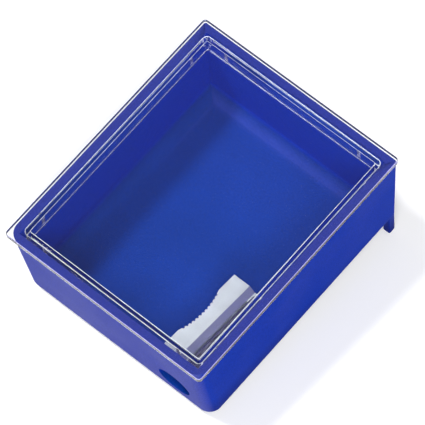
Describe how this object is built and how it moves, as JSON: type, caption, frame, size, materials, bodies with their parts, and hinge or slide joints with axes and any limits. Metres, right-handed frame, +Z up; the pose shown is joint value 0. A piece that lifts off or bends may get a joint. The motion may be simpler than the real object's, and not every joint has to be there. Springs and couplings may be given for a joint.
{
  "type": "container pencil sharpener",
  "caption": "Box pencil sharpener: a moulded tray with a clear push-on lid, a pencil hole low in its front wall and a metal wedge sharpener inside.",
  "frame": {"origin": "under the middle of the part's box, on the surface it stands on", "axes": "+Z up, -Y towards the wall with the pencil hole, +X to the right of it"},
  "size_m": [0.0574, 0.072, 0.0362],
  "materials": {
    "tray": "moulded blue",
    "lid": "clear plastic",
    "block": "cast",
    "blade": "ground",
    "screw": "plain"
  },
  "bodies": {
    "tray": {"tray": "tray", "sharpener_block": "block", "blade": "blade", "blade_screw": "screw"},
    "lid": {"lid": "lid"}
  },
  "joints": [
    {"name": "lid_lift", "type": "slide", "parent": "tray", "child": "lid", "axis": [0, -0.0883, 0.9961], "range_m": [0, 0.04]}
  ]
}
